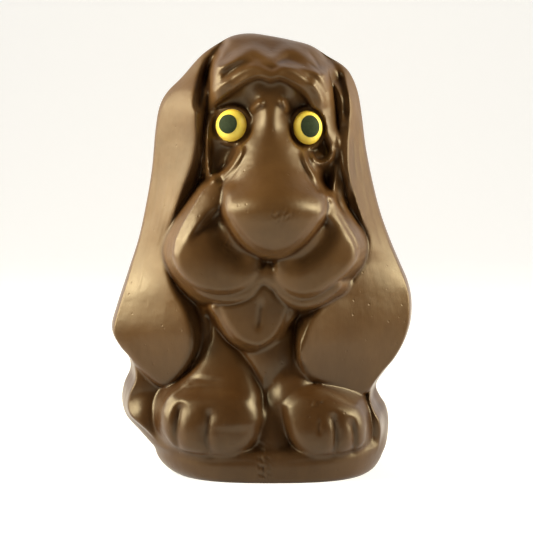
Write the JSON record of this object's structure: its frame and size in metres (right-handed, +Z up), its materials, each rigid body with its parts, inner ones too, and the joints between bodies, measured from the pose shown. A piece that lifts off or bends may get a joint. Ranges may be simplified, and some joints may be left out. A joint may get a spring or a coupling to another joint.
{
  "type": "moulded chocolate dog",
  "caption": "Seated long-eared dog moulded in milk chocolate, with drooping brows and jowls, large front paws, a low foot to stand on and round yellow sugar eyes.",
  "frame": {"origin": "middle of the figure's box, on the ground", "axes": "+X to the right as seen from the front, +Y to the back, +Z up; the nose points along -Y"},
  "size_m": [0.1392, 0.1154, 0.2],
  "materials": {
    "chocolate": "satin-glossy milk chocolate as it leaves a polished mould",
    "yellow_sugar": "hard yellow sugar icing with a soft sheen",
    "green_sugar": "matt dark green sugar icing"
  },
  "bodies": {
    "root": {"dog": "chocolate", "eye_left": "yellow_sugar", "pupil_left": "green_sugar", "eye_right": "yellow_sugar", "pupil_right": "green_sugar"}
  },
  "joints": []
}
